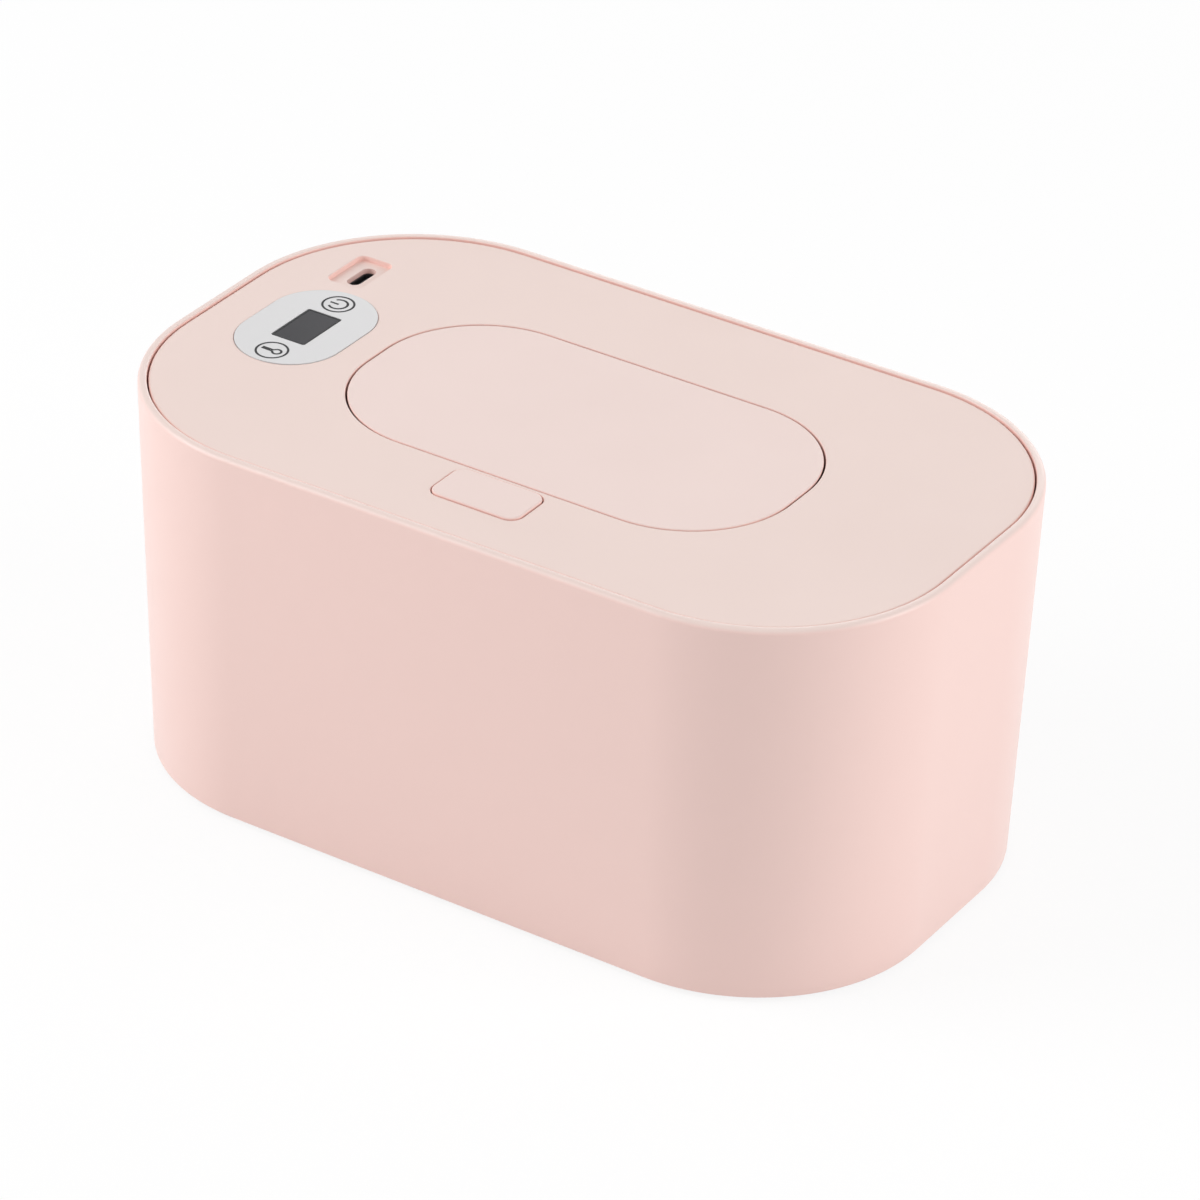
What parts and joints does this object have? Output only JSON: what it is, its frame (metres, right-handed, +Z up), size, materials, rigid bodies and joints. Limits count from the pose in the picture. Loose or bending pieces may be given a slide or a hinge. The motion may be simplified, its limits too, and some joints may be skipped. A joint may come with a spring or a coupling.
{
  "type": "baby wipe warmer",
  "caption": "Box-shaped warmer with rounded ends: a wipes tub under a heated lift-off cover with a sprung flip lid, a push latch and a touch panel.",
  "frame": {"origin": "centre of the footprint, on the surface that the feet stand on", "axes": "+X along the length with the control panel at the -X end, +Y to the rear where the lid is hinged, +Z up"},
  "size_m": [0.205, 0.1228, 0.0967],
  "materials": {
    "shell_pink": "satin-gloss moulded pale pink",
    "cover_pink": "fine matte moulded pale beige pink",
    "white_plastic": "satin moulded white",
    "foam": "closed-cell foam sheet",
    "dark_rubber": "matte rubber",
    "silicone": "soft matte silicone",
    "steel": "plated steel",
    "aluminium": "bare rolled sheet",
    "amber_film": "clear amber film over etched tracks",
    "black_plastic": "matte black",
    "board_green": "solder-masked board",
    "brass": "plated wire",
    "smoked_window": "smooth smoked lens",
    "panel_silver": "silver-white satin sheet",
    "red_lead": "silicone-sleeved wire"
  },
  "bodies": {
    "case": {"outer_shell": "shell_pink", "inner_tub": "white_plastic", "tub_foam": "foam", "base_plate": "shell_pink", "rubber_feet": "dark_rubber", "base_screws": "steel"},
    "cover": {"top_cover": "cover_pink", "cover_liner": "white_plastic", "cover_seal": "silicone", "liner_screws": "steel", "heater_plate": "aluminium", "heater_film": "amber_film", "heater_pad": "foam", "thermistor": "black_plastic", "thermal_fuse": "white_plastic", "control_board": "board_green", "board_parts": "black_plastic", "board_screws": "steel", "touch_springs": "brass", "display_module": "black_plastic", "display_window": "smoked_window", "control_panel": "panel_silver", "power_inlet": "steel", "heater_leads": "red_lead", "sensor_leads": "black_plastic", "hinge_pins": "steel", "hinge_springs": "steel", "latch_spring": "steel"},
    "lid": {"flip_lid": "cover_pink", "lid_lining": "white_plastic", "lid_gasket": "silicone"},
    "button": {"latch_button": "cover_pink"},
    "slider": {"latch_slider": "white_plastic"}
  },
  "joints": [
    {"name": "cover_lift", "type": "slide", "parent": "case", "child": "cover", "axis": [0, 0, 1], "range_m": [0, 0.06]},
    {"name": "lid_hinge", "type": "hinge", "parent": "cover", "child": "lid", "pos_m": [0, 0.03445, 0.0921], "axis": [-1, 0, 0], "range_deg": [0, 90], "deforming": ["hinge_springs"]},
    {"name": "button_press", "type": "slide", "parent": "cover", "child": "button", "axis": [0, 0, -1], "range_m": [0, 0.0015], "stiffness_N_per_m": 500, "springref_m": -0.002},
    {"name": "slider_draw", "type": "slide", "parent": "cover", "child": "slider", "axis": [0, -1, 0], "range_m": [0, 0.0015], "deforming": ["latch_spring"]}
  ],
  "couplings": [
    {"joint": "slider_draw", "follows": "button_press", "ratio": 1}
  ]
}
